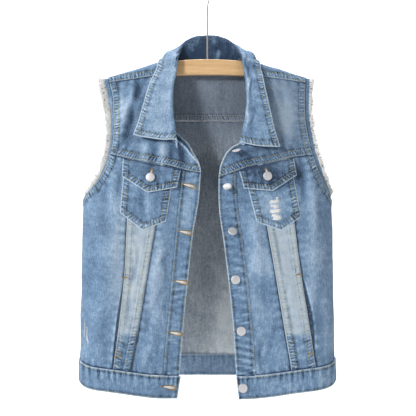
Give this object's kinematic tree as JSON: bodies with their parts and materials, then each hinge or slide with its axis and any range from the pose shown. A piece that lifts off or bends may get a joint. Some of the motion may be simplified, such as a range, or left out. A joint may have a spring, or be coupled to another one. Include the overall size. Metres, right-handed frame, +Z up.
{
  "type": "denim vest on a wooden hanger",
  "caption": "Open sleeveless denim vest with a turned collar, flap chest pockets and frayed armholes, hanging on a flat wooden hanger with a wire hook.",
  "frame": {"origin": "inside crown of the hook, where a rail carries the hanger", "axes": "+X towards the wearer's left, +Y out of the back, +Z up"},
  "size_m": [0.471, 0.1437, 0.787],
  "materials": {
    "denim": "washed light blue twill, faded at seams",
    "faded_denim": "washed almost to grey",
    "frayed_thread": "loose off-white yarn",
    "button_metal": "pale satin",
    "hanger_wood": "clear satin varnish",
    "hook_wire": "polished"
  },
  "bodies": {
    "root": {"front_centre_right": "denim", "front_centre_left": "denim", "front_strip_right": "faded_denim", "front_strip_left": "faded_denim", "front_side_right": "denim", "front_side_left": "denim", "placket_right": "denim", "placket_left": "denim", "front_yoke_right": "denim", "front_yoke_left": "denim", "chest_pocket_right": "denim", "chest_pocket_left": "denim", "pocket_flap_right": "denim", "pocket_flap_left": "denim", "back_panel": "denim", "back_yoke": "denim", "waistband": "denim", "collar": "denim", "armhole_band_right": "denim", "armhole_band_left": "denim", "armhole_fringe_right": "frayed_thread", "armhole_fringe_left": "frayed_thread", "button_1": "button_metal", "button_2": "button_metal", "button_3": "button_metal", "button_4": "button_metal", "button_5": "button_metal", "button_6": "button_metal", "pocket_button_right": "button_metal", "pocket_button_left": "button_metal", "hanger_bar": "hanger_wood", "hanger_hook": "hook_wire"}
  },
  "joints": []
}
